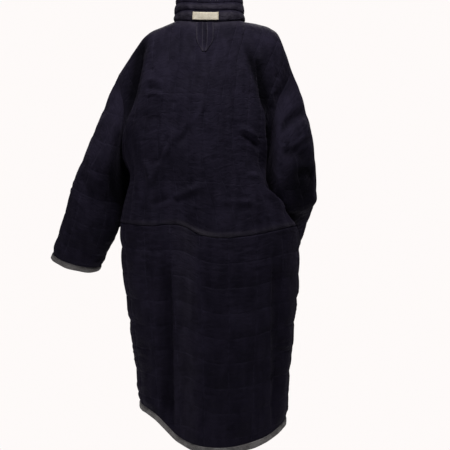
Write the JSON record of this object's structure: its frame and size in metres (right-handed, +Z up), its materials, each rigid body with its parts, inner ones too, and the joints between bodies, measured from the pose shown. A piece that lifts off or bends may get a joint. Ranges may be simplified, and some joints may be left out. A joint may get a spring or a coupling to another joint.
{
  "type": "quilted coat",
  "caption": "Long quilted coat with a stand collar, dropped sleeves, a waist seam and a curved bound hem, holding the hollow form of being worn with one arm bent to a pocket.",
  "frame": {"origin": "middle of the neck opening at the height of the collar seam, where the coat is worn", "axes": "+Z up, +Y the front of the coat, +X the coat's own right side"},
  "size_m": [0.6949, 0.3448, 1.1515],
  "materials": {
    "quilted_cloth": "near-black navy ribbed cotton with a soft sheen, quilted",
    "binding": "grey woven binding tape",
    "label_cream": "plain cream woven label with no text",
    "snap_metal": "dark satin metal"
  },
  "bodies": {
    "root": {"back_upper": "quilted_cloth", "front_upper_left": "quilted_cloth", "front_upper_right": "quilted_cloth", "skirt_back": "quilted_cloth", "skirt_front_left": "quilted_cloth", "skirt_front_right": "quilted_cloth", "sleeve_left": "quilted_cloth", "sleeve_right": "quilted_cloth", "collar": "quilted_cloth", "cuff_binding_left": "binding", "cuff_binding_right": "binding", "hem_binding": "binding", "hanger_loop": "quilted_cloth", "label": "label_cream", "pocket_welt_left": "quilted_cloth", "pocket_welt_right": "quilted_cloth", "snap_1": "snap_metal", "snap_2": "snap_metal", "snap_3": "snap_metal", "snap_4": "snap_metal", "snap_5": "snap_metal", "snap_6": "snap_metal"}
  },
  "joints": []
}
